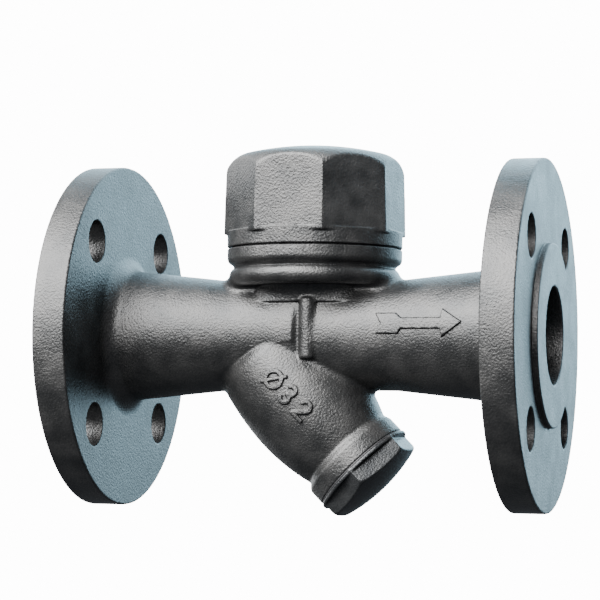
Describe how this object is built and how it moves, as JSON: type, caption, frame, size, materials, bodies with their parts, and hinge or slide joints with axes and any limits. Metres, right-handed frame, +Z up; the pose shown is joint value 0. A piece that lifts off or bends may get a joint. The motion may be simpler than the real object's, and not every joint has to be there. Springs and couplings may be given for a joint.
{
  "type": "steam trap with built-in strainer",
  "caption": "Flanged disc steam trap: horizontal cast pipe body, octagon screwed cap over a free disc and seat, and a slanted strainer leg closed by a hexagon plug.",
  "frame": {"origin": "centre of the inlet raised face, on the pipe's axis", "axes": "+X along the pipe with the flow, +Z up through the octagon cap"},
  "size_m": [0.16, 0.115, 0.1228],
  "materials": {
    "cast_steel": "shot-blasted cast steel under a thin dark grey coat, machined on the raised faces",
    "cap_steel": "shot-blasted cast steel, thin dark grey coat",
    "plug_steel": "dark phosphated steel, milled flats",
    "valve_steel": "lapped and turned stainless steel",
    "screen_steel": "perforated and woven stainless steel",
    "graphite": "flexible graphite sheet, matte"
  },
  "bodies": {
    "casting": {"trap_body": "cast_steel", "inlet_flange": "cast_steel", "outlet_flange": "cast_steel", "valve_seat": "valve_steel", "seat_inner_gasket": "graphite", "seat_outer_gasket": "graphite", "inner_cover": "valve_steel"},
    "disc": {"valve_disc": "valve_steel"},
    "cap_seal": {"cap_gasket": "graphite"},
    "cap": {"cap": "cap_steel"},
    "strainer": {"screen_tube": "screen_steel", "screen_mesh": "screen_steel", "screen_top_ring": "screen_steel", "screen_bottom_ring": "screen_steel", "plug_gasket": "graphite"},
    "plug": {"strainer_plug": "plug_steel"}
  },
  "joints": [
    {"name": "disc_lift", "type": "slide", "parent": "casting", "child": "disc", "axis": [0, 0, 1], "range_m": [0, 0.0012]},
    {"name": "cap_rise", "type": "slide", "parent": "casting", "child": "cap_seal", "axis": [0, 0, 1], "range_m": [0, 0.04]},
    {"name": "cap_turn", "type": "hinge", "parent": "cap_seal", "child": "cap", "pos_m": [0.079, 0, 0.04], "axis": [0, 0, 1], "range_deg": [0, 7200]},
    {"name": "strainer_draw", "type": "slide", "parent": "casting", "child": "strainer", "axis": [0.7071, 0, -0.7071], "range_m": [0, 0.056]},
    {"name": "plug_turn", "type": "hinge", "parent": "strainer", "child": "plug", "pos_m": [0.0526, 0, 0], "axis": [0.7071, 0, -0.7071], "range_deg": [0, 10080]}
  ],
  "couplings": [
    {"joint": "cap_rise", "follows": "cap_turn", "m_per_rad": 0.00031831},
    {"joint": "strainer_draw", "follows": "plug_turn", "m_per_rad": 0.00031831}
  ]
}
